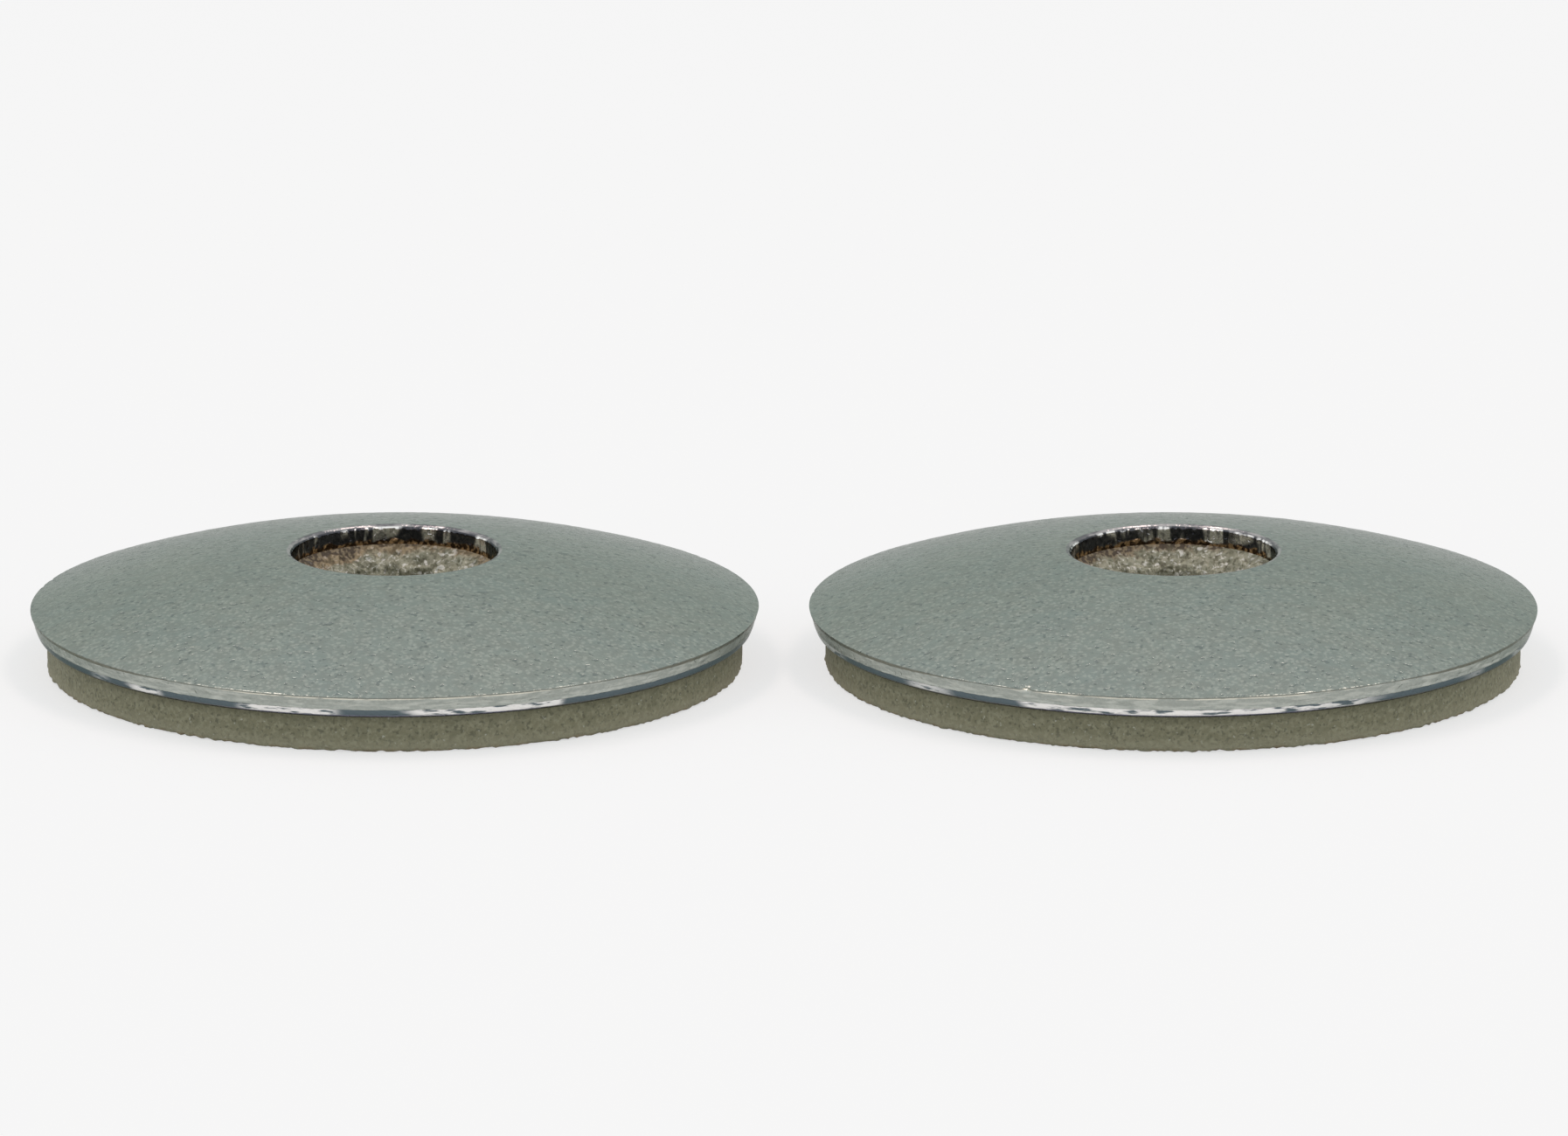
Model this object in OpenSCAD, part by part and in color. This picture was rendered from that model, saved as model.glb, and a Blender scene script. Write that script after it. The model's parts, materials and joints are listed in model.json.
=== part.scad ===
// A pair of bonded sealing washers for roofing screws, lying side by side on their sealing faces.
// Each washer is a domed, zinc-plated steel disc with a rubber pad vulcanised into its dish.
// Millimetres, +Z up out of the domes, +X from the left washer to the right one, and the origin
// on the surface that they lie on, midway between them.

/* [Steel disc] */
// Diameter across the steel disc
disc_d = 22; // [18:0.5:28]
// Thickness of the sheet, square to its face
sheet_t = 0.8; // [0.6:0.05:1.2]
// Radius of the dome's upper face
dome_r = 32.8; // [22:0.2:80]
// Diameter of the screw hole through the steel
steel_hole_d = 6.2; // [5:0.1:8]
// Rounding where the punch drew the upper face into the screw hole
hole_lip_r = 0.15; // [0.05:0.01:0.25]
// Height of the flared break at the foot of the screw hole's wall
hole_break_h = 0.2; // [0.05:0.01:0.3]
// How far that break flares out from the wall
hole_break_w = 0.1; // [0.05:0.01:0.3]
// Rounding of the rim's lower corner, where the blanking die drew it in
rim_roll_r = 0.2; // [0.05:0.01:0.35]
// Rounding that the plating leaves on the rim's upper corner
rim_top_r = 0.05; // [0.02:0.01:0.15]

/* [Rubber pad] */
// How far the steel's rim stands out past the pad's side
rim_overhang = 0.5; // [0.45:0.05:2]
// Height of the pad's side, from the sealing face up to the steel
pad_side_h = 1.15; // [0.5:0.05:3]
// Rounding of the pad's lower outer corner
pad_corner_r = 0.12; // [0.05:0.01:0.4]
// Diameter of the bore through the rubber, which grips the screw
rubber_bore_d = 4.6; // [2:0.1:5.6]
// How far the rubber's ledge falls from the foot of the steel wall to the bore
ledge_drop = 0.6; // [0.2:0.05:1.2]
// Rounding where the ledge turns down into the bore
bore_mouth_r = 0.15; // [0.05:0.01:0.3]

/* [Pair] */
// Clear space between the rims of the two washers
pair_gap = 1.5; // [0.5:0.1:10]

/* [Hidden] */
$fn = 180;

// How far the circle of a rounding stands out past the two lines that it joins, so that it
// crosses them and leaves no step where it would only touch
hair = 0.0002;

disc_r = disc_d / 2;
pad_r = disc_r - rim_overhang;
steel_hole_r = steel_hole_d / 2;
rubber_bore_r = rubber_bore_d / 2;
// Radius of the dish under the steel, which the rubber is bonded to
dish_r = dome_r - sheet_t;
// Height of the centre that dome and dish share: the dish meets the pad's side at pad_side_h
centre_z = pad_side_h - height_on(dish_r, pad_r);
// Angle from the washer's axis to the middle of the rim's upper rounding, whose outermost point
// gives the disc its diameter, and to the cut edge of the rim, which is square to the sheet
rim_top_angle = asin((disc_r - rim_top_r - hair) / (dome_r - rim_top_r));
rim_angle = rim_top_angle + asin(rim_top_r / (dome_r - rim_top_r));
// Height of the dish and of the steel wall's foot at the screw hole
dish_at_hole_z = centre_z + height_on(dish_r, steel_hole_r + hole_break_w);
wall_foot_z = dish_at_hole_z + hole_break_h;
// Point on the flared break's own slope, as far under the dish again
below_break = [steel_hole_r + 2 * hole_break_w, wall_foot_z - 2 * hole_break_h];
// Height at which the ledge would reach the bore with a sharp corner
bore_mouth_z = wall_foot_z - ledge_drop;
// Slope of the ledge below the level
ledge_angle = atan(ledge_drop / (steel_hole_r - rubber_bore_r));
// Distance of each washer's axis from the middle of the pair
washer_x = disc_r + pair_gap / 2;
// How far a cutting shape reaches past what it cuts
past = 1;

steel_colour = [0.56, 0.58, 0.56];
rubber_colour = [0.42, 0.43, 0.36];

// Height above its centre of a circle of radius r, at distance x from the axis
function height_on(r, x) = sqrt(r * r - x * x);
// Point at distance r from the shared centre, at an angle from the washer's axis
function from_centre(r, angle) = [r * sin(angle), centre_z + r * cos(angle)];
// Direction of a heading, in degrees up from the outward level
function heading(angle) = [cos(angle), sin(angle)];

// Half of a flat ring between two circles about the shared centre, as far as the rim's cut
module sheet_section() {
    reach = dome_r + past;
    intersection() {
        translate([0, centre_z]) difference() {
            circle(r = dome_r);
            circle(r = dish_r);
        }
        polygon([
            [steel_hole_r, centre_z + dome_r + past],
            [steel_hole_r, centre_z],
            [0, centre_z],
            from_centre(reach, rim_angle),
            [reach * sin(rim_angle), centre_z + reach]
        ]);
    }
}

// What a rounding of radius r takes off a corner: the ear between the corner and the arc that
// runs round middle from one angle to the other, less than half a turn further on
module corner_ear(middle, r, from_angle, to_angle) {
    half = (to_angle - from_angle) / 2;
    reach = r + past;
    difference() {
        polygon([
            middle,
            middle + reach * heading(from_angle),
            middle + reach / cos(half) * heading(from_angle + half),
            middle + reach * heading(to_angle)
        ]);
        translate(middle) circle(r = r + hair);
    }
}

// Lower corner of the rim, between the dish and the cut edge
module rim_roll_ear() {
    to_middle = dish_r + rim_roll_r;
    angle = rim_angle - asin(rim_roll_r / to_middle);
    corner_ear(from_centre(to_middle, angle), rim_roll_r, -90 - angle, -rim_angle);
}

// Upper corner of the rim, between the domed face and the cut edge
module rim_top_ear() {
    middle = from_centre(dome_r - rim_top_r, rim_top_angle);
    corner_ear(middle, rim_top_r, -rim_angle, 90 - rim_top_angle);
}

// Upper corner of the screw hole, between the domed face and the hole's wall
module hole_lip_ear() {
    to_middle = dome_r - hole_lip_r;
    angle = asin((steel_hole_r + hole_lip_r) / to_middle);
    corner_ear(from_centre(to_middle, angle), hole_lip_r, 90 - angle, 180);
}

// Flared break at the foot of the screw hole, from its wall down past the dish
module hole_break_ear() {
    polygon([
        [steel_hole_r, wall_foot_z],
        below_break,
        [steel_hole_r - past, below_break.y],
        [steel_hole_r - past, wall_foot_z]
    ]);
}

// Section of the steel disc: domed sheet, rim cut square to it, punched hole with a drawn-in lip
module steel_section() {
    difference() {
        sheet_section();
        rim_roll_ear();
        rim_top_ear();
        hole_lip_ear();
        hole_break_ear();
    }
}

// Rubber that fills the dish, from the screw hole out to the pad's side
module dish_filling() {
    intersection() {
        translate([0, centre_z]) circle(r = dish_r);
        translate([steel_hole_r, 0]) square([pad_r - steel_hole_r, centre_z + dome_r]);
    }
}

// Rubber round the bore: it fills the flared break and slopes down as a ledge
module ledge_filling() {
    polygon([
        [rubber_bore_r, 0],
        [below_break.x, 0],
        below_break,
        [steel_hole_r, wall_foot_z],
        [rubber_bore_r, bore_mouth_z]
    ]);
}

// Lower outer corner of the pad, between its side and the sealing face
module pad_corner_ear() {
    corner_ear([pad_r - pad_corner_r, pad_corner_r], pad_corner_r, -90, 0);
}

// Mouth of the bore, where the sloping ledge turns down into it
module bore_mouth_ear() {
    middle_z = bore_mouth_z - bore_mouth_r * tan((90 - ledge_angle) / 2);
    corner_ear([rubber_bore_r + bore_mouth_r, middle_z], bore_mouth_r, 90 + ledge_angle, 180);
}

// Section of the rubber pad: flat sealing face, dished top, ledge and bore inside the screw hole
module pad_section() {
    difference() {
        union() {
            dish_filling();
            ledge_filling();
        }
        pad_corner_ear();
        bore_mouth_ear();
    }
}

module steel_disc() {
    color(steel_colour) rotate_extrude() steel_section();
}

module rubber_pad() {
    color(rubber_colour) rotate_extrude() pad_section();
}

module left_steel_disc() {
    translate([-washer_x, 0, 0]) steel_disc();
}

module left_rubber_pad() {
    translate([-washer_x, 0, 0]) rubber_pad();
}

module right_steel_disc() {
    translate([washer_x, 0, 0]) steel_disc();
}

module right_rubber_pad() {
    translate([washer_x, 0, 0]) rubber_pad();
}

left_steel_disc();
left_rubber_pad();
right_steel_disc();
right_rubber_pad();
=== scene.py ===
"""The looks of a pair of bonded sealing washers: domed zinc-plated discs on olive grey rubber pads.

Metres, +Z up out of the domes. A section is a list of (radius, height) points about a washer's axis,
and a bearing is an angle round that axis, in degrees from +X towards +Y.
"""

import json
import math
import random

import bpy
from mathutils import Matrix, Vector


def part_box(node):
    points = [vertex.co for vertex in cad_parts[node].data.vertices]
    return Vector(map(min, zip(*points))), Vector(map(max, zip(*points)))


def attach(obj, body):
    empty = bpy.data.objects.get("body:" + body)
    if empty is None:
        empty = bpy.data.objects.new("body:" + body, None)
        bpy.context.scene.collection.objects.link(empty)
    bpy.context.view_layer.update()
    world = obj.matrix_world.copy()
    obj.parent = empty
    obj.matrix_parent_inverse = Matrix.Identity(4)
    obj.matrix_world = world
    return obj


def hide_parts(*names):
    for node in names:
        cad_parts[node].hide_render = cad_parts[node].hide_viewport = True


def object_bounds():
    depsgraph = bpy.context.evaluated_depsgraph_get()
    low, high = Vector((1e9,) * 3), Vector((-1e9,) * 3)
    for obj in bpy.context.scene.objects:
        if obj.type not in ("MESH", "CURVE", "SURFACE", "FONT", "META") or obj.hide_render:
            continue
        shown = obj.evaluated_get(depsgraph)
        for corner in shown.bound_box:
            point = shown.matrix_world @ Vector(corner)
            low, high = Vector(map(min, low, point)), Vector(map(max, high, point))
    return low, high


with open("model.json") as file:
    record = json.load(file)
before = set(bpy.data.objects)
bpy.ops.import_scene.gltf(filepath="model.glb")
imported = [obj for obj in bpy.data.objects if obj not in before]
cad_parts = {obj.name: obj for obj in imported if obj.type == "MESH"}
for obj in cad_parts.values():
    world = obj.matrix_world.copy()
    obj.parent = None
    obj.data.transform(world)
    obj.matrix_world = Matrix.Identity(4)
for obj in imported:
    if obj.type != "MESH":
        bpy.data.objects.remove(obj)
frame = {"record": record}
cad_low, cad_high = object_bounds()

MM = 0.001
SIDES = ("left", "right")

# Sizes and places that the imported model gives: its boxes and its bores
MOUNTS = {mount["name"]: mount for mount in frame["record"]["mounts"]}
AXIS_X = {side: MOUNTS[side + "_screw_hole"]["pos_m"][0] for side in SIDES}
DISC_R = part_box("left_steel_disc")[1].y
PAD_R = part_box("left_rubber_pad")[1].y
FOOT_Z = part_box("left_rubber_pad")[1].z
HOLE_R = MOUNTS["left_screw_hole"]["dims"]["r_mm"] * MM
BORE_R = MOUNTS["left_rubber_bore"]["dims"]["r_mm"] * MM

# Sizes of the section, as the part's source has them
DOME_R = 32.8 * MM
SHEET = 0.8 * MM
DISH_R = DOME_R - SHEET
LIP_R = 0.15 * MM
BREAK_H = 0.2 * MM
BREAK_W = 0.1 * MM
ROLL_R = 0.2 * MM
TOP_R = 0.05 * MM
CORNER_R = 0.12 * MM
LEDGE_DROP = 0.6 * MM
MOUTH_R = 0.15 * MM

# Width of the sealing face's ragged outer band
FOOT_BAND = 0.55 * MM

# Steps round each turned mesh, doublings of its first wedge, and the distance that closes its seams
TURNS = 640
DOUBLINGS = 3
WELD = 0.0005 * MM

# Edges that turn by fewer degrees than this are shaded smooth
STEEL_CREASE = 28
RUBBER_CREASE = 60

# The photograph's frame, and where the pair lies in it
IMAGE_W = 1794
PAIR_PIXELS = 1724
PAIR_Y = 694
IMAGE_MIDDLE_Y = 650
CAMERA_DISTANCE = 450 * MM
CAMERA_ELEVATION = math.radians(14.2)
CAMERA_CLIP = (1 * MM, 10.0)
SENSOR_W = 36.0


def height_on(radius, x):
    """Height of a circle above its centre, at a distance from the axis."""
    return math.sqrt(radius * radius - x * x)


CENTRE_Z = FOOT_Z - BREAK_H - height_on(DISH_R, HOLE_R + BREAK_W)
RIM_TOP_ANGLE = math.asin((DISC_R - TOP_R) / (DOME_R - TOP_R))
RIM_ANGLE = RIM_TOP_ANGLE + math.asin(TOP_R / (DOME_R - TOP_R))
ROLL_ANGLE = RIM_ANGLE - math.asin(ROLL_R / (DISH_R + ROLL_R))
LIP_ANGLE = math.asin((HOLE_R + LIP_R) / (DOME_R - LIP_R))
LEDGE_SLOPE = math.atan(LEDGE_DROP / (HOLE_R - BORE_R))
MOUTH_Z = FOOT_Z - LEDGE_DROP - MOUTH_R * math.tan((math.pi / 2 - LEDGE_SLOPE) / 2)


# Sections. Each stretch of an outline ends with its number of steps

def from_centre(radius, angle):
    """Point at a distance from the centre that dome and dish share, at an angle from the axis."""
    return radius * math.sin(angle), CENTRE_Z + radius * math.cos(angle)


def shell(radius, start, end, steps):
    """Points on a circle about that centre, from one angle to the other."""
    return [from_centre(radius, start + (end - start) * i / steps) for i in range(steps + 1)]


def arc(middle, radius, start, end, steps):
    """Points round a middle, by headings in degrees up from the outward level."""
    headings = [math.radians(start + (end - start) * i / steps) for i in range(steps + 1)]
    return [(middle[0] + radius * math.cos(h), middle[1] + radius * math.sin(h)) for h in headings]


def between(start, end, steps):
    """Points from start to end, without these two."""
    return [tuple(a + (b - a) * i / steps for a, b in zip(start, end)) for i in range(1, steps)]


def steel_section():
    """Outline of the steel: dish, rolled corner, cut edge, dome, lip, wall and flared break."""
    break_foot = (HOLE_R + BREAK_W, FOOT_Z - BREAK_H)
    rim, roll, top = (math.degrees(angle) for angle in (RIM_ANGLE, ROLL_ANGLE, RIM_TOP_ANGLE))
    dish = shell(DISH_R, math.asin(break_foot[0] / DISH_R), ROLL_ANGLE, 14)[:-1]
    rolled = arc(from_centre(DISH_R + ROLL_R, ROLL_ANGLE), ROLL_R, -90 - roll, -rim, 8)
    corner = arc(from_centre(DOME_R - TOP_R, RIM_TOP_ANGLE), TOP_R, -rim, 90 - top, 4)
    dome = shell(DOME_R, RIM_TOP_ANGLE, LIP_ANGLE, 82)[1:-1]
    lip = arc(from_centre(DOME_R - LIP_R, LIP_ANGLE), LIP_R, 90 - math.degrees(LIP_ANGLE), 180, 7)
    foot = (HOLE_R, FOOT_Z)
    wall = between(lip[-1], foot, 8) + [foot] + between(foot, break_foot, 4) + [break_foot]
    return dish + rolled + between(rolled[-1], corner[0], 12) + corner + dome + lip + wall


def rubber_section():
    """Outline of the rubber: sealing face, corner, side, dished top, ledge, mouth and bore."""
    bore_foot = (BORE_R, 0)
    foot = (HOLE_R, FOOT_Z)
    corner = arc((PAD_R - CORNER_R, CORNER_R), CORNER_R, -90, 0, 6)
    top = shell(DISH_R, math.asin(PAD_R / DISH_R), math.asin((HOLE_R + BREAK_W) / DISH_R), 8)
    mouth = arc((BORE_R + MOUTH_R, MOUTH_Z), MOUTH_R, 90 + math.degrees(LEDGE_SLOPE), 180, 5)
    foot_edge = (PAD_R - FOOT_BAND, 0)
    face = [bore_foot] + between(bore_foot, foot_edge, 16) + [foot_edge]
    face += between(foot_edge, corner[0], 5)
    side = between(corner[-1], top[0], 18)
    ledge = [foot] + between(foot, mouth[0], 16)
    bore = between(mouth[-1], bore_foot, 24) + [bore_foot]
    return face + corner + side + top + ledge + mouth + bore


# Modelling

def only(piece):
    """Leaves this object alone selected, and active."""
    bpy.ops.object.select_all(action="DESELECT")
    piece.select_set(True)
    bpy.context.view_layer.objects.active = piece


def turned(name, section, axis_x):
    """Draws the outline from one vertex, spins it into a wedge and doubles that until it is whole."""
    bpy.ops.object.select_all(action="DESELECT")
    bpy.ops.mesh.primitive_plane_add(size=MM, location=(axis_x + section[0][0], 0, section[0][1]))
    piece = bpy.context.object
    piece.name = piece.data.name = name
    bpy.ops.object.transform_apply(location=True, rotation=True, scale=True)
    bpy.ops.object.mode_set(mode="EDIT")
    bpy.ops.mesh.merge(type="CENTER")
    for here, there in zip(section, section[1:]):
        step = (there[0] - here[0], 0, there[1] - here[1])
        bpy.ops.mesh.extrude_region_move(TRANSFORM_OT_translate={"value": step})
    wedge = 2 * math.pi / 2 ** DOUBLINGS
    middle = (axis_x, 0, 0)
    bpy.ops.mesh.select_all(action="SELECT")
    bpy.ops.mesh.spin(steps=TURNS // 2 ** DOUBLINGS, angle=wedge, center=middle, axis=(0, 0, 1))
    for i in range(DOUBLINGS):
        bpy.ops.mesh.select_all(action="SELECT")
        bpy.ops.mesh.duplicate()
        bpy.ops.transform.rotate(value=wedge * 2 ** i, orient_axis="Z", center_override=middle)
    bpy.ops.mesh.select_all(action="SELECT")
    bpy.ops.mesh.remove_doubles(threshold=WELD)
    bpy.ops.mesh.normals_make_consistent(inside=False)
    bpy.ops.object.mode_set(mode="OBJECT")
    return piece


def copy_along(piece, name, shift):
    """Copies a piece, with its own mesh, further along X."""
    only(piece)
    bpy.ops.object.duplicate()
    copy = bpy.context.object
    copy.name = copy.data.name = name
    bpy.ops.transform.translate(value=(shift, 0, 0))
    bpy.ops.object.transform_apply(location=True, rotation=True, scale=True)
    return copy


def mark(piece, name, weight):
    """Adds a vertex group whose weights are a function of (radius, height) about the piece's axis."""
    group = piece.vertex_groups.new(name=name)
    axis_x = AXIS_X[piece.name.split("_")[0]]
    rings = {}
    for vertex in piece.data.vertices:
        at = vertex.co
        value = round(weight(math.hypot(at.x - axis_x, at.y), at.z), 3)
        rings.setdefault(value, []).append(vertex.index)
    for value, members in rings.items():
        if value > 0:
            group.add(members, value, "REPLACE")


def relief(piece, group, grain, strength, level):
    """Moves the marked vertices by a noise with this grain: only in at level 1, only out at 0."""
    texture = bpy.data.textures.new(piece.name + "_" + group, "CLOUDS")
    texture.noise_scale = grain
    only(piece)
    bpy.ops.object.modifier_add(type="DISPLACE")
    displace = piece.modifiers[-1]
    displace.texture = texture
    displace.vertex_group = group
    displace.strength = strength
    displace.mid_level = level
    bpy.ops.object.modifier_apply(modifier=displace.name)


def pull(piece, point, shift, reach, falloff):
    """Drags the vertex nearest to a point, and what lies within reach of it, as a nick, nib or burr."""
    only(piece)
    nearest = min(piece.data.vertices, key=lambda vertex: (vertex.co - point).length_squared).index
    bpy.ops.object.mode_set(mode="EDIT")
    bpy.ops.mesh.select_all(action="DESELECT")
    bpy.ops.object.mode_set(mode="OBJECT")
    piece.data.vertices[nearest].select = True
    bpy.ops.object.mode_set(mode="EDIT")
    bpy.ops.transform.translate(value=shift, use_proportional_edit=True, proportional_size=reach,
                                proportional_edit_falloff=falloff)
    bpy.ops.object.mode_set(mode="OBJECT")


def outward(bearing):
    """Level direction at a bearing, in degrees."""
    return Vector((math.cos(math.radians(bearing)), math.sin(math.radians(bearing)), 0))


def smooth(piece, crease):
    """Shades smooth all edges that turn less than this many degrees."""
    only(piece)
    bpy.ops.object.shade_smooth_by_angle(angle=math.radians(crease))


def depth_under_dome(radius, height):
    """How far a point of the section lies under the domed face."""
    return DOME_R - math.hypot(radius, height - CENTRE_Z)


def ramp(value, start, end):
    """0 before start, 1 after end, and even between them."""
    return min(max((value - start) / (end - start), 0), 1)


# Materials

class Wire:
    """A socket of a material, so that sums and products of sockets are written as such."""

    def __init__(self, finish, socket):
        self.finish = finish
        self.socket = socket

    def __add__(self, other):
        return self.finish.maths("ADD", self, other)

    def __sub__(self, other):
        return self.finish.maths("SUBTRACT", self, other)

    def __rsub__(self, other):
        return self.finish.maths("SUBTRACT", other, self)

    def __mul__(self, other):
        return self.finish.maths("MULTIPLY", self, other)

    __radd__ = __add__
    __rmul__ = __mul__


class Finish:
    """A material under way: its nodes and the patterns that the finishes share."""

    def __init__(self, name, tree=None):
        if tree is None:
            self.material = bpy.data.materials.new(name)
            self.material.use_nodes = True
            tree = self.material.node_tree
        self.tree = tree
        self.tree.nodes.clear()
        self.place = self.node("ShaderNodeTexCoord", output="Object")

    def node(self, kind, settings=None, inputs=None, output=0):
        """Adds a node, sets its settings, then feeds its sockets with values or wires."""
        made = self.tree.nodes.new(kind)
        for key, value in (settings or {}).items():
            setattr(made, key, value)
        for key, value in (inputs or {}).items():
            if isinstance(value, Wire):
                self.tree.links.new(value.socket, made.inputs[key])
            else:
                made.inputs[key].default_value = value
        return Wire(self, made.outputs[output]) if len(made.outputs) else None

    def maths(self, operation, first, second=0.0):
        return self.node("ShaderNodeMath", {"operation": operation}, {0: first, 1: second})

    def vector(self, operation, first, second=(0, 0, 0), output="Vector"):
        inputs = {0: first, 1: second}
        return self.node("ShaderNodeVectorMath", {"operation": operation}, inputs, output)

    def part(self, vector, axis):
        """One coordinate of a vector."""
        return self.node("ShaderNodeSeparateXYZ", None, {"Vector": vector}, axis)

    def mix(self, factor, first, second):
        """A colour between two colours."""
        first, second = (c if isinstance(c, Wire) else (*c, 1) for c in (first, second))
        inputs = {0: factor, 6: first, 7: second}
        return self.node("ShaderNodeMix", {"data_type": "RGBA"}, inputs, output=2)

    def step(self, value, start, end):
        """0 before start and 1 after end, with a soft passage. Start may be the larger."""
        inputs = {"Value": value, "From Min": start, "From Max": end}
        return self.node("ShaderNodeMapRange", {"interpolation_type": "SMOOTHSTEP"}, inputs)

    def noise(self, grain, detail=2.0, place=None):
        """Soft noise whose blobs are about grain across."""
        inputs = {"Vector": place or self.place, "Scale": 1 / grain, "Detail": detail}
        return self.node("ShaderNodeTexNoise", None, inputs)

    def cells(self, size):
        """Distance to the middle of the nearest of some cells this wide, as a share of that width."""
        inputs = {"Vector": self.place, "Scale": 1 / size}
        return self.node("ShaderNodeTexVoronoi", None, inputs, "Distance")

    def placed(self, at=(0, 0, 0), scale=(1, 1, 1)):
        """The piece's own coordinates, squeezed or drawn out and then moved."""
        inputs = {"Vector": self.place, "Location": at, "Scale": scale}
        return self.node("ShaderNodeMapping", None, inputs)

    def radius(self, axis_x):
        """Distance from a washer's axis."""
        level = self.vector("MULTIPLY", self.placed((-axis_x, 0, 0)), (1, 1, 0))
        return self.vector("LENGTH", level, output="Value")

    def depth(self, axis_x):
        """How far under a washer's domed face."""
        risen = self.vector("SUBTRACT", self.placed((-axis_x, 0, 0)), (0, 0, CENTRE_Z))
        return DOME_R - self.vector("LENGTH", risen, output="Value")

    def finished(self, colour, roughness, metallic, bump, bump_height, tint=(1, 1, 1)):
        """Wires up the surface and returns the material."""
        normal = self.node("ShaderNodeBump", None, {"Height": bump, "Distance": bump_height})
        inputs = {"Base Color": colour, "Roughness": roughness, "Normal": normal}
        inputs.update({"Metallic": metallic, "Specular Tint": (*tint, 1)})
        surface = self.node("ShaderNodeBsdfPrincipled", None, inputs)
        self.node("ShaderNodeOutputMaterial", None, {"Surface": surface})
        return self.material


# Colours of the blasted face: its clouds, dull blotches, light grain that is partly the zinc's speckle
# and partly painted glints, and dark pits
FACE_COOL = (0.232, 0.280, 0.267)
FACE_WARM = (0.285, 0.311, 0.276)
FACE_DULL = (0.224, 0.231, 0.209)
FACE_GRAIN_GLINT = (0.50, 0.525, 0.47)
FACE_PIT = (0.06, 0.085, 0.10)
# Colours of the rim's cut edge, from its upper corner down: painted shade at the corner, a painted
# highlight, the matt band with its specks and drawn marks, the burnished strip's painted dark and light
# reflections, and painted shade on the rolled underside
RIM_CORNER_SHADE = (0.14, 0.135, 0.10)
RIM_HIGHLIGHT_LINE = (0.84, 0.82, 0.70)
RIM_MATT = (0.395, 0.43, 0.395)
RIM_SPECK = (0.53, 0.56, 0.51)
RIM_DRAWN = (0.68, 0.71, 0.65)
RIM_DARK_REFLECTION = (0.13, 0.17, 0.19)
RIM_BRIGHT_REFLECTION = (1.0, 1.0, 0.98)
RIM_UNDER_SHADE = (0.19, 0.185, 0.18)
RIM_UNDER_FRONT_SHADE = (0.24, 0.235, 0.31)
# Colours of the screw hole's lip and wall, which are painted reflections and shade, and of its crust
LIP_DARK_REFLECTION = (0.16, 0.16, 0.17)
LIP_PALE_REFLECTION = (0.40, 0.39, 0.39)
WALL_DARK_REFLECTION = (0.055, 0.058, 0.068)
WALL_BRIGHT_REFLECTION = (0.85, 0.85, 0.83)
WALL_CRINKLE = (0.11, 0.11, 0.115)
CRUST_DARK = (0.06, 0.035, 0.02)
CRUST_LIGHT = (0.50, 0.33, 0.19)
# How much of its brightness the zinc keeps where it is seen nearly edge on
EDGE_TINT = (0.52, 0.56, 0.53)
# How metallic the zinc is, and the height of its finest grain
ZINC_METAL = 0.95
ZINC_BUMP = 0.018 * MM

# Depths under the dome over which the cut edges change
CUT_FROM = (0.035 * MM, 0.05 * MM)
CORNER_SHADE_TO = (0.05 * MM, 0.07 * MM)
HIGHLIGHT_FROM = (0.055 * MM, 0.07 * MM)
HIGHLIGHT_TO = (0.09 * MM, 0.11 * MM)
BURNISHED_FROM = (0.44 * MM, 0.46 * MM)
UNDER_FROM = (0.63 * MM, 0.66 * MM)
CRUST_FROM = (0.43 * MM, 0.53 * MM)
# How much wider the painted shade at the upper corner is at the rim's sides
SIDE_CORNER_SHADE = 0.08 * MM
# Y over which the rim's front starts, where its painted highlight shows and its painted reflections are
# lighter, and over which its sides do
FRONT_FROM = (-9.4 * MM, -10.3 * MM)
SIDE_FROM = (-9.2 * MM, -6.5 * MM)
# Radii over which the lip starts, the lip ends, and the rim's part of the disc starts
LIP_FROM = (HOLE_R + 0.01 * MM, HOLE_R + 0.04 * MM)
LIP_TO = (HOLE_R + 0.12 * MM, HOLE_R + 0.17 * MM)
OUTER_FROM = (6 * MM, 7 * MM)


def zinc_face(zinc, fine):
    """Colour of the blasted face, with light grain that is partly painted glints, and where its pits
    are.
    """
    face = zinc.mix(zinc.noise(2.5 * MM), FACE_COOL, FACE_WARM)
    face = zinc.mix(zinc.step(zinc.noise(0.5 * MM), 0.35, 0.65) * 0.3, face, FACE_DULL)
    grains_and_glints = zinc.step(zinc.cells(0.17 * MM) + (fine - 0.5) * 1.2, 0.60, 0.10)
    face = zinc.mix(grains_and_glints * 0.34, face, FACE_GRAIN_GLINT)
    pit = zinc.step(zinc.noise(0.17 * MM, 0.5), 0.64, 0.73)
    return zinc.mix(pit * 0.36, face, FACE_PIT), pit


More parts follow.
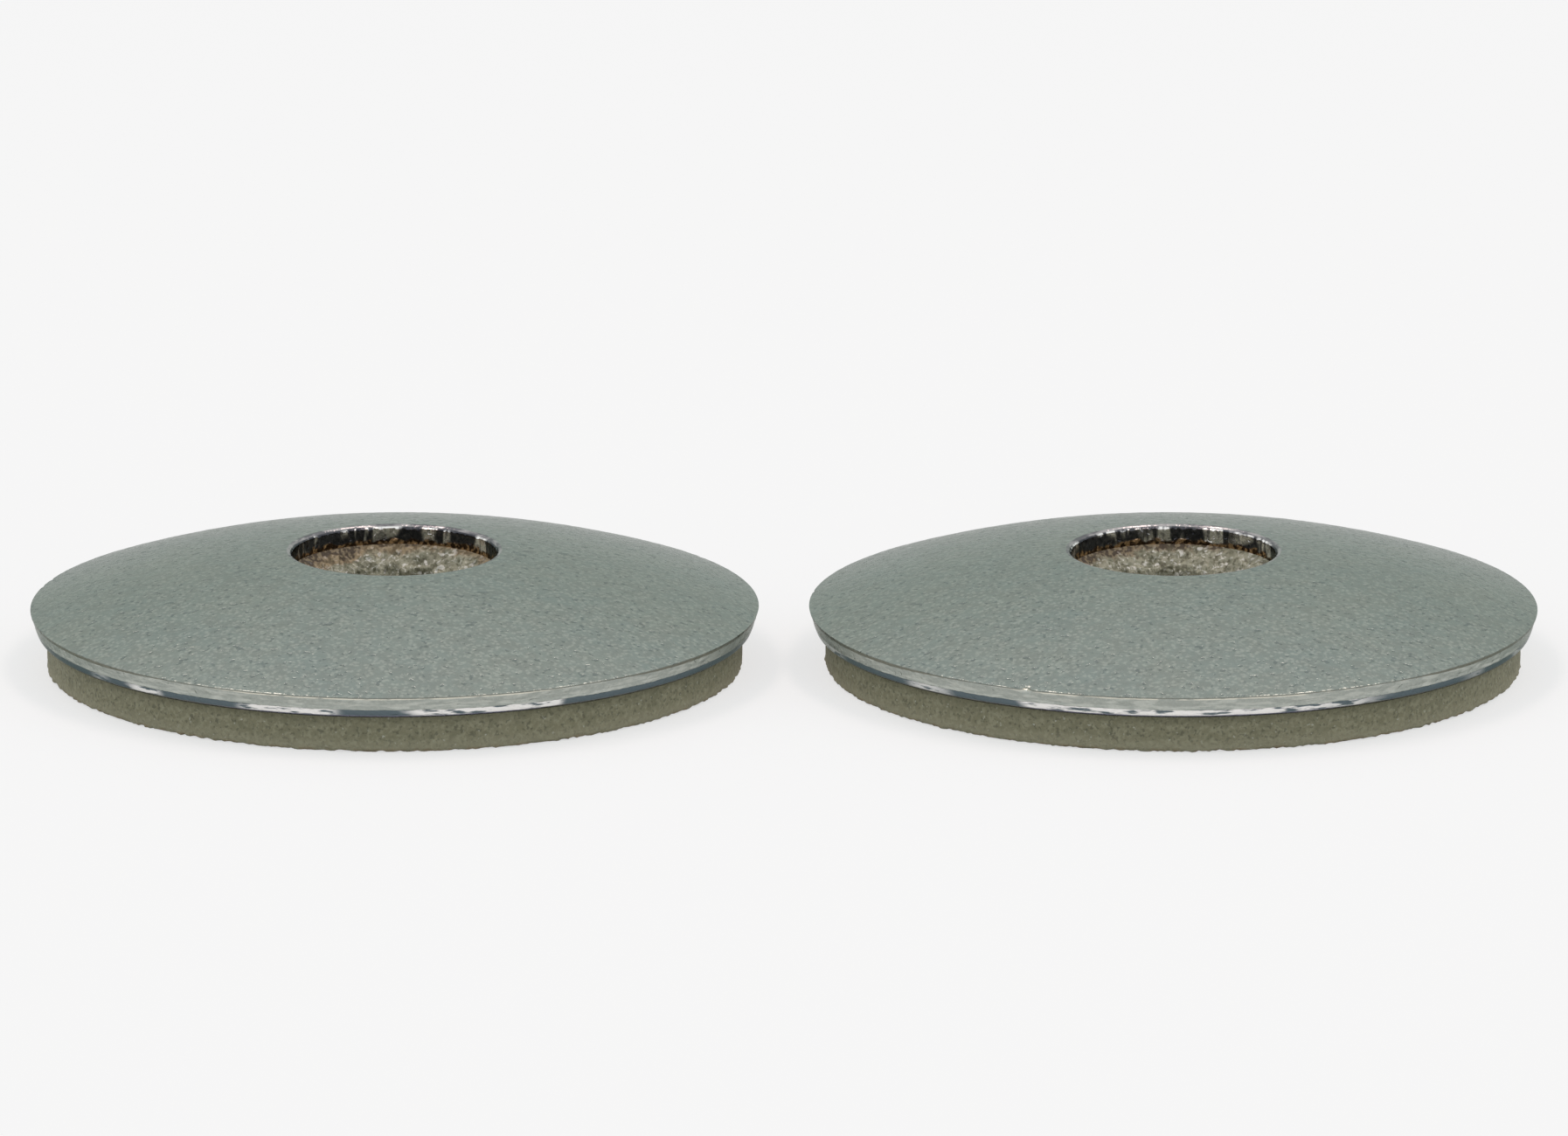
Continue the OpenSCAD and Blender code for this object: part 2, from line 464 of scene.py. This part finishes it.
def zinc_rim(zinc, depth, fine, drawn, wander):
    """Colour of the rim's cut edge, with painted shade at its upper corner and rolled underside, a
    painted highlight at its front and painted reflections on its burnished strip, and where that strip
    and underside are.
    """
    back = zinc.part(zinc.place, "Y")
    front = zinc.step(back, *FRONT_FROM)
    # Painted reflection on the burnished strip: light in patches that favour the front, dark blue-black
    # elsewhere
    reflection_patch = zinc.step(zinc.noise(3.2 * MM, 1.0) + front * 0.3, 0.56, 0.66)
    rim = zinc.mix(zinc.step(fine, 0.45, 0.7) * 0.4, RIM_MATT, RIM_SPECK)
    rim = zinc.mix(zinc.step(drawn, 0.46, 0.62) * 0.45, rim, RIM_DRAWN)
    strip_reflection = zinc.mix(zinc.step(drawn, 0.36, 0.50) * reflection_patch, RIM_DARK_REFLECTION, RIM_BRIGHT_REFLECTION)
    burnished = zinc.step(depth + wander * 0.25, *BURNISHED_FROM)
    rim = zinc.mix(burnished, rim, strip_reflection)
    # Painted shade on the rolled underside, lighter and bluer at the front
    under = zinc.step(depth + wander * 0.15, *UNDER_FROM)
    rim = zinc.mix(under, rim, zinc.mix(front, RIM_UNDER_SHADE, RIM_UNDER_FRONT_SHADE))
    # Painted highlight along the upper corner, at the front only
    highlight_line = zinc.step(depth, *HIGHLIGHT_FROM) - zinc.step(depth, *HIGHLIGHT_TO)
    rim = zinc.mix(highlight_line * zinc.step(drawn, 0.35, 0.5) * front * 0.9, rim, RIM_HIGHLIGHT_LINE)
    # Painted shade of the rounded upper corner, widened at the rim's sides
    corner = depth - zinc.step(back, *SIDE_FROM) * SIDE_CORNER_SHADE
    rim = zinc.mix((1 - zinc.step(corner, *CORNER_SHADE_TO)) * 0.8, rim, RIM_CORNER_SHADE)
    return rim, burnished, under


def zinc_wall(zinc, depth, crinkle, drawn, wander, lip):
    """Colour of the screw hole's wall and lip, streaked and speckled with painted reflections and
    shade, and where the wall is crusted.
    """
    # Painted reflections and shade on the wall: dark, with light streaks in patches
    wall_reflection_patch = zinc.step(zinc.noise(1.1 * MM, 1.0), 0.47, 0.57)
    down = zinc.placed(scale=(1, 1, 0.15))
    reflection_streak = zinc.step(zinc.noise(0.27 * MM, 2.0, down), 0.42, 0.56)
    wall = zinc.mix(reflection_streak * wall_reflection_patch, WALL_DARK_REFLECTION, WALL_BRIGHT_REFLECTION)
    wall = zinc.mix(zinc.step(crinkle, 0.54, 0.60) * 0.5, wall, WALL_CRINKLE)
    crusted = zinc.step(depth + wander * 1.6, *CRUST_FROM)
    wall = zinc.mix(crusted, wall, zinc.mix(zinc.step(crinkle, 0.46, 0.60), CRUST_DARK, CRUST_LIGHT))
    # Painted reflection on the lip: pale and dark by turns
    wall = zinc.mix(lip, wall, zinc.mix(zinc.step(drawn, 0.4, 0.6), LIP_DARK_REFLECTION, LIP_PALE_REFLECTION))
    return wall, crusted


def zinc_plated_steel(name, axis_x):
    """Blasted zinc with light grain, partly painted glints, and dull pits; a matt and burnished rim
    with painted shade, highlight and reflections; and a wall streaked with painted reflections and
    shade.
    """
    zinc = Finish(name)
    radius = zinc.radius(axis_x)
    depth = zinc.depth(axis_x)
    fine = zinc.noise(0.09 * MM)
    crinkle = zinc.noise(0.16 * MM, 1.5)
    drawn = zinc.noise(0.1 * MM, 3.0, zinc.placed(scale=(0.16, 0.16, 1)))
    wander = (zinc.noise(0.3 * MM) - 0.5) * (0.24 * MM)
    outer = zinc.step(radius, *OUTER_FROM)
    hole = 1 - zinc.step(radius, *LIP_TO)
    lip = zinc.step(radius, *LIP_FROM)
    cut = zinc.step(depth, *CUT_FROM) * outer + hole

    face, pit = zinc_face(zinc, fine)
    rim, burnished, under = zinc_rim(zinc, depth, fine, drawn, wander)
    wall, crusted = zinc_wall(zinc, depth, crinkle, drawn, wander, lip)
    colour = zinc.mix(cut, face, zinc.mix(outer, wall, rim))
    rim_shine = outer * burnished * (1 - under)
    wall_shine = hole * (1 - crusted) * (1 - lip)
    rough = 0.18 + (zinc.noise(0.35 * MM, 1.0) - 0.5) * 0.16
    rough = rough + pit * (1 - cut) * 0.08 - rim_shine * 0.08 - wall_shine * 0.06
    bump = crinkle * (1 - rim_shine * 0.7 - wall_shine * 0.5) + fine * 0.3 - pit * 0.35
    return zinc.finished(colour, rough, ZINC_METAL, bump, ZINC_BUMP, EDGE_TINT)


# Colours of the moulded rubber: its clouds, grain, blotches, pores, flecks, painted light that lightens
# its foot, painted shade under the steel rim on its upper band, and fringe
RUBBER_DARK = (0.206, 0.195, 0.115)
RUBBER_LIGHT = (0.250, 0.235, 0.150)
RUBBER_GRAIN = (0.36, 0.345, 0.235)
RUBBER_BLOTCH = (0.135, 0.132, 0.076)
RUBBER_PORE = (0.085, 0.083, 0.05)
RUBBER_FLECK = (0.52, 0.52, 0.44)
RUBBER_FOOT_LIGHT = (0.40, 0.37, 0.26)
RUBBER_RIM_SHADE = (0.13, 0.13, 0.07)
RUBBER_FRINGE = (0.30, 0.19, 0.10)
# Colours of the torn rubber: its blotches, grain, painted glints as white curls and veins, dark pits,
# stain, and painted shade along the steel wall
TORN_DARK = (0.182, 0.18, 0.118)
TORN_LIGHT = (0.38, 0.37, 0.27)
TORN_GRAIN = (0.42, 0.40, 0.32)
TORN_GLINT = (0.78, 0.76, 0.70)
TORN_VEIN_GLINT = (0.80, 0.78, 0.70)
TORN_PIT = (0.07, 0.062, 0.036)
STAIN_DARK = (0.16, 0.105, 0.05)
STAIN_LIGHT = (0.38, 0.27, 0.15)
WALL_FOOT_SHADE = (0.05, 0.034, 0.022)
# Height of the rubber's finest grain
RUBBER_BUMP = 0.05 * MM

# Heights over which the painted light at the foot ends, the painted shade under the rim starts, the
# fringe ends and the tear starts
FOOT_LIGHT_TO = (0.05 * MM, 0.55 * MM)
RIM_SHADE_FROM = (0.75 * MM, 1.05 * MM)
FRINGE_TO = (0.0, 0.16 * MM)
TORN_FROM = (0.0, 0.3 * MM)
# Radii over which the fringe starts, the painted shade along the steel wall starts and the tear ends
FRINGE_FROM = (9 * MM, 10 * MM)
WALL_FOOT_SHADE_FROM = (HOLE_R - 0.16 * MM, HOLE_R - 0.04 * MM)
TORN_TO = (HOLE_R + 0.05 * MM, HOLE_R + 0.15 * MM)
# How much further in the stain and the painted shade along the steel wall reach for each metre towards
# -X; the brown is stain, its lean towards -X is painted shade
STAIN_AND_SHADE_LEAN = 0.09


def moulded_rubber(rubber, radius, height, cloud, blotch, grain):
    """Colour of the pad's side and sealing face, with painted light towards the floor and painted shade
    under the steel rim.
    """
    fleck = rubber.step(rubber.noise(0.12 * MM, 1.0), 0.70, 0.78)
    pores = 1 - rubber.step(rubber.noise(0.11 * MM, 1.0), 0.32, 0.44)
    body = rubber.mix(cloud, RUBBER_DARK, RUBBER_LIGHT)
    body = rubber.mix(rubber.step(grain, 0.42, 0.66) * 0.55, body, RUBBER_GRAIN)
    body = rubber.mix((1 - rubber.step(blotch, 0.34, 0.5)) * 0.32, body, RUBBER_BLOTCH)
    body = rubber.mix(pores * 0.6, body, RUBBER_PORE)
    body = rubber.mix(fleck * 0.7, body, RUBBER_FLECK)
    # Painted light: lighter towards the floor
    body = rubber.mix((1 - rubber.step(height, *FOOT_LIGHT_TO)) * 0.58, body, RUBBER_FOOT_LIGHT)
    # Painted shade under the overhanging steel rim
    body = rubber.mix(rubber.step(height, *RIM_SHADE_FROM) * 0.52, body, RUBBER_RIM_SHADE)
    fringe = (1 - rubber.step(height, *FRINGE_TO)) * rubber.step(radius, *FRINGE_FROM)
    return rubber.mix(fringe * rubber.step(blotch, 0.42, 0.6) * 0.6, body, RUBBER_FRINGE)


def torn_rubber(rubber, white, blotch, grain):
    """Colour of the torn ledge and bore, with painted white glints, before they are stained."""
    torn = rubber.mix(rubber.step(blotch, 0.35, 0.65), TORN_DARK, TORN_LIGHT)
    torn = rubber.mix(rubber.step(grain, 0.4, 0.65) * 0.5, torn, TORN_GRAIN)
    torn = rubber.mix(white * 0.8, torn, TORN_GLINT)
    # Thin curved veins of painted glints
    off_glint_vein = rubber.maths("ABSOLUTE", rubber.noise(0.26 * MM, 1.0) - 0.5)
    glint_vein = (1 - rubber.step(off_glint_vein, 0.006, 0.03)) * rubber.step(grain, 0.46, 0.58)
    torn = rubber.mix(glint_vein * 0.85, torn, TORN_VEIN_GLINT)
    return rubber.mix((1 - rubber.step(grain, 0.34, 0.46)) * 0.6, torn, TORN_PIT)


def stained(rubber, torn, edge, stain, grain):
    """The torn rubber's colour with its brown stain, and painted shade along the foot of the steel
    wall.
    """
    brown = rubber.step(edge, HOLE_R - stain - 0.12 * MM, HOLE_R - stain + 0.10 * MM)
    tan = rubber.mix(rubber.step(grain, 0.42, 0.60), STAIN_DARK, STAIN_LIGHT)
    torn = rubber.mix(brown * 0.75, torn, tan)
    # Painted shade in the corner where the ledge meets the steel wall
    wall_foot_shade = rubber.step(edge, *WALL_FOOT_SHADE_FROM) * (1 - rubber.step(grain, 0.44, 0.58) * 0.65)
    return rubber.mix(wall_foot_shade * 0.85, torn, WALL_FOOT_SHADE)


def olive_rubber(name, axis_x, stain):
    """Granular olive grey rubber, torn in the bore and flecked there with painted white glints, stained
    brown as far from the steel as stain says, with painted shade along the steel wall and painted light
    and shade on its side."""
    rubber = Finish(name)
    radius = rubber.radius(axis_x)
    height = rubber.part(rubber.place, "Z")
    cloud = rubber.noise(1.2 * MM)
    blotch = rubber.noise(0.4 * MM)
    grain = rubber.noise(0.14 * MM)
    # Spots of painted glints, which are also made less rough
    white = rubber.step(rubber.noise(0.21 * MM, 1.5), 0.61, 0.67)
    edge = radius + (blotch - 0.5) * (0.5 * MM) + (cloud - 0.5) * (0.7 * MM)
    # Leans the stain and the wall's painted shade towards -X: the brown is stain, the darker -X side is
    # painted shade
    edge = edge + (axis_x - rubber.part(rubber.place, "X")) * STAIN_AND_SHADE_LEAN

    body = moulded_rubber(rubber, radius, height, cloud, blotch, grain)
    torn = stained(rubber, torn_rubber(rubber, white, blotch, grain), edge, stain, grain)
    inside = (1 - rubber.step(radius, *TORN_TO)) * rubber.step(height, *TORN_FROM)
    colour = rubber.mix(inside, body, torn)
    rough = 0.70 - white * inside * 0.45 + (grain - 0.5) * 0.2
    return rubber.finished(colour, rough, 0.0, grain + blotch, RUBBER_BUMP)


# Pieces

# Past the first radius a point of the steel is at the rim, and within the second it is at the hole
RIM_SIDE = 8 * MM
HOLE_SIDE = 4 * MM

# Depths under the dome, radii and heights of the zones that have a relief
FACE_DEPTHS = (0.001 * MM, 0.02 * MM)
FRACTURE_DEPTHS = (0.02 * MM, 0.40 * MM)
WALL_DEPTHS = (0.1 * MM, 0.79 * MM)
SIDE_R = PAD_R - 0.3 * MM
SIDE_HEIGHTS = (0.001 * MM, 1.1 * MM)
CORNER_RADII = (PAD_R - FOOT_BAND, PAD_R - 0.2 * MM)
CORNER_HEIGHTS = (0.05 * MM, 0.25 * MM)
TEAR_RADII = (2.7 * MM, HOLE_R)
TEAR_HEIGHTS = (0.0, 0.4 * MM)

# Relief of each zone: its name, the size of its grain, its height, and its level
STEEL_RELIEF = [("face", 0.23 * MM, 0.022 * MM, 1.0), ("fracture", 0.14 * MM, 0.03 * MM, 1.0),
                ("wall", 0.12 * MM, 0.03 * MM, 0.0)]
RUBBER_RELIEF = [("side", 0.22 * MM, 0.028 * MM, 0.6), ("corner", 0.20 * MM, 0.13 * MM, 0.62),
                 ("torn", 0.45 * MM, 0.40 * MM, 0.5), ("torn", 0.12 * MM, 0.13 * MM, 0.5)]

# Small marks at random: how many on each washer, how far they reach, how wide their root is, and seeds
NICKS = (5, (0.01 * MM, 0.035 * MM), (0.1 * MM, 0.2 * MM))
BURRS = (10, (0.05 * MM, 0.14 * MM), (0.09 * MM, 0.16 * MM))
NIBS = (18, (0.02 * MM, 0.06 * MM))
NIB_ROOT = 0.14 * MM
NICK_SEEDS = {"left": 11, "right": 12}
BURR_SEEDS = {"left": 21, "right": 22}
NIB_SEEDS = {"left": 31, "right": 32}

# Burrs and a nick seen in the photograph: bearing, how far they reach, and the size of their root
LEFT_BURRS = [(38.7, 0.34 * MM, 0.26 * MM), (-46, 0.30 * MM, 0.28 * MM), (-38, 0.15 * MM, 0.18 * MM)]
RIM_NICK = [(-115, 0.09 * MM, 0.22 * MM)]
# How far the brown stain reaches from the steel wall over each torn ledge
STAIN = {"left": 0.34 * MM, "right": 0.10 * MM}


def on_face(radius, height):
    """How much relief of the blasted face a point of the section takes, from 0 to 1."""
    return 1 - ramp(depth_under_dome(radius, height), *FACE_DEPTHS)


def on_fracture(radius, height):
    """The same for the rim's cut edge above the burnished strip."""
    depth = depth_under_dome(radius, height)
    return float(radius > RIM_SIDE and FRACTURE_DEPTHS[0] < depth < FRACTURE_DEPTHS[1])


def on_wall(radius, height):
    """The same for the screw hole's wall."""
    depth = depth_under_dome(radius, height)
    return float(radius < HOLE_SIDE and WALL_DEPTHS[0] < depth < WALL_DEPTHS[1])


def on_side(radius, height):
    """The same for the pad's side."""
    return float(radius > SIDE_R and SIDE_HEIGHTS[0] < height < SIDE_HEIGHTS[1])


def on_corner(radius, height):
    """The same for the pad's lower outer corner."""
    return ramp(radius, *CORNER_RADII) * (1 - ramp(height, *CORNER_HEIGHTS))


def on_tear(radius, height):
    """The same for the torn ledge and bore."""
    return (1 - ramp(radius, *TEAR_RADII)) * ramp(height, *TEAR_HEIGHTS)


def add_steel_relief(disc, axis, nicks):
    """Blasted face, torn upper zone of the cut edge, rough hole wall and dented rim."""
    mark(disc, "face", on_face)
    mark(disc, "fracture", on_fracture)
    mark(disc, "wall", on_wall)
    for zone in STEEL_RELIEF:
        relief(disc, *zone)
    rim_z = Vector((0, 0, from_centre(DOME_R, RIM_ANGLE)[1]))
    for bearing, inward, root in nicks:
        shift = -outward(bearing) * inward + Vector((0, 0, -inward / 2))
        pull(disc, axis + outward(bearing) * DISC_R + rim_z, shift, root, "SMOOTH")


def add_rubber_relief(pad, axis, burrs, nibs):
    """Mottled side, ragged lower corner, and a torn ledge and bore with burrs that point inwards."""
    mark(pad, "side", on_side)
    mark(pad, "corner", on_corner)
    mark(pad, "torn", on_tear)
    for zone in RUBBER_RELIEF:
        relief(pad, *zone)
    for bearing, inward, root in burrs:
        mouth = axis + outward(bearing) * BORE_R + Vector((0, 0, MOUTH_Z))
        pull(pad, mouth, -outward(bearing) * inward, root, "SHARP")
    for bearing, out in nibs:
        low_corner = axis + outward(bearing) * PAD_R + Vector((0, 0, CORNER_R / 2))
        pull(pad, low_corner, outward(bearing) * out, NIB_ROOT, "LINEAR")
    flatten_foot(pad)


def flatten_foot(pad):
    """Presses flat onto the floor what the relief pushed below it."""
    only(pad)
    bpy.ops.object.mode_set(mode="EDIT")
    bpy.ops.mesh.select_all(action="DESELECT")
    bpy.ops.object.mode_set(mode="OBJECT")
    for vertex in pad.data.vertices:
        vertex.select = vertex.co.z < 0
    bpy.ops.object.mode_set(mode="EDIT")
    bpy.ops.transform.resize(value=(1, 1, 0), center_override=(0, 0, 0))
    bpy.ops.object.mode_set(mode="OBJECT")


def scatter(seed, count, *ranges):
    """Bearings at random, each with a value from each range."""
    draw = random.Random(seed)
    return [(draw.uniform(0, 360), *(draw.uniform(*limits) for limits in ranges)) for i in range(count)]


def stand_for(piece, node):
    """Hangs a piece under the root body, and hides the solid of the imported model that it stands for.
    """
    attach(piece, "root")
    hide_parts(node)


def add_washers():
    """Both washers: each disc and pad is turned once, copied, then roughened on its own."""
    discs = {"left": turned("left_zinc_disc", steel_section(), AXIS_X["left"])}
    pads = {"left": turned("left_olive_pad", rubber_section(), AXIS_X["left"])}
    spread = AXIS_X["right"] - AXIS_X["left"]
    discs["right"] = copy_along(discs["left"], "right_zinc_disc", spread)
    pads["right"] = copy_along(pads["left"], "right_olive_pad", spread)
    nicks = {side: scatter(NICK_SEEDS[side], *NICKS) for side in SIDES}
    burrs = {side: scatter(BURR_SEEDS[side], *BURRS) for side in SIDES}
    nibs = {side: scatter(NIB_SEEDS[side], *NIBS) for side in SIDES}
    nicks["right"] += RIM_NICK
    burrs["left"] += LEFT_BURRS
    for side in SIDES:
        disc, pad = discs[side], pads[side]
        axis = Vector((AXIS_X[side], 0, 0))
        add_steel_relief(disc, axis, nicks[side])
        add_rubber_relief(pad, axis, burrs[side], nibs[side])
        smooth(disc, STEEL_CREASE)
        smooth(pad, RUBBER_CREASE)
        disc.data.materials.append(zinc_plated_steel(side + "_zinc", AXIS_X[side]))
        pad.data.materials.append(olive_rubber(side + "_rubber", AXIS_X[side], STAIN[side]))
        stand_for(disc, side + "_steel_disc")
        stand_for(pad, side + "_rubber_pad")


# Stage

# Warm lamps and a cooler fill, which together light a white surface as white
LAMP_COLOUR = (1.0, 0.80, 0.75)
FILL_COLOUR = (0.517, 0.581, 0.599)
SOFTBOX_DISTANCE = 0.5
SOFTBOX_SIZE = (0.10, 0.42)
# Each softbox: degrees off the zenith towards +X and towards +Y, turn of its front end, and watts
SOFTBOXES = [("softbox_left", -21.5, -0.5, 7, 0.51), ("softbox_right", 21.5, -2.5, -7, 0.53)]

# The floor's drop below the pads, which keeps their faces out of one plane, its size and its shade
FLOOR_GAP = 0.01 * MM
FLOOR_SIZE = 4.0
FLOOR_WHITE = 0.93
# Share of plain white in what the camera sees of the floor
FLOOR_GLOW = 0.62


def add_floor():
    """Plain white floor that keeps a soft shadow."""
    bpy.ops.mesh.primitive_plane_add(size=FLOOR_SIZE, location=(0, 0, -FLOOR_GAP))
    floor = bpy.context.object
    floor.name = "floor"
    white = Finish("floor_white")
    paper_colour = (FLOOR_WHITE, FLOOR_WHITE, FLOOR_WHITE, 1)
    paper = white.node("ShaderNodeBsdfDiffuse", None, {"Color": paper_colour})
    glow = white.node("ShaderNodeEmission", None, {"Color": (1, 1, 1, 1), "Strength": 1.0})
    seen = white.node("ShaderNodeLightPath", output="Is Camera Ray")
    both = white.node("ShaderNodeMixShader", None, {0: seen * FLOOR_GLOW, 1: paper, 2: glow})
    white.node("ShaderNodeOutputMaterial", None, {"Surface": both})
    floor.data.materials.append(white.material)


def add_world():
    """White for the camera and in reflections, and a dimmer, cooler fill for everything else."""
    world = bpy.data.worlds.new("studio")
    bpy.context.scene.world = world
    world.use_nodes = True
    sky = Finish("sky", world.node_tree)
    ways = [sky.node("ShaderNodeLightPath", output=way)
            for way in ("Is Camera Ray", "Is Glossy Ray", "Is Transmission Ray")]
    plain = sky.maths("MAXIMUM", sky.maths("MAXIMUM", ways[0], ways[1]), ways[2])
    light = sky.node("ShaderNodeBackground", None, {"Color": sky.mix(plain, FILL_COLOUR, (1, 1, 1))})
    sky.node("ShaderNodeOutputWorld", None, {"Surface": light})


def add_softbox(name, tilt, lean, splay, watts):
    """An area lamp that looks at the pair from tilt degrees off the zenith towards +X, and lean towards
    +Y. Its front end is turned towards -X by splay degrees."""
    data = bpy.data.lights.new(name, "AREA")
    data.shape = "RECTANGLE"
    data.size, data.size_y = SOFTBOX_SIZE
    data.color = LAMP_COLOUR
    data.energy = watts
    lamp = bpy.data.objects.new(name, data)
    bpy.context.scene.collection.objects.link(lamp)
    slopes = [math.tan(math.radians(angle)) for angle in (tilt, lean)]
    direction = Vector((*slopes, 1)).normalized()
    across = direction.cross(Vector((0, 1, 0))).normalized()
    across = Matrix.Rotation(-math.radians(splay), 3, direction) @ across
    lamp.location = direction * SOFTBOX_DISTANCE
    turn = Matrix((across, direction.cross(across), direction)).transposed()
    lamp.rotation_euler = turn.to_euler()
    lamp.visible_camera = False


def add_camera():
    """A long lens at the photograph's viewing angle, which shows the pair as wide and as low."""
    data = bpy.data.cameras.new("camera")
    camera = bpy.data.objects.new("camera", data)
    bpy.context.scene.collection.objects.link(camera)
    data.sensor_width = SENSOR_W
    pair_w = cad_high.x - cad_low.x
    view_w = pair_w * IMAGE_W / PAIR_PIXELS
    data.lens = SENSOR_W * CAMERA_DISTANCE / view_w
    back = Vector((0, -math.cos(CAMERA_ELEVATION), math.sin(CAMERA_ELEVATION)))
    up = Vector((0, math.sin(CAMERA_ELEVATION), math.cos(CAMERA_ELEVATION)))
    middle = (cad_low + cad_high) / 2 + up * (PAIR_Y - IMAGE_MIDDLE_Y) * view_w / IMAGE_W
    camera.location = middle + back * CAMERA_DISTANCE
    camera.rotation_euler = (-back).to_track_quat("-Z", "Y").to_euler()
    data.clip_start, data.clip_end = CAMERA_CLIP
    bpy.context.scene.camera = camera


add_camera()
add_washers()
add_floor()
add_world()
for softbox in SOFTBOXES:
    add_softbox(*softbox)
bpy.context.scene.view_settings.view_transform = "Standard"
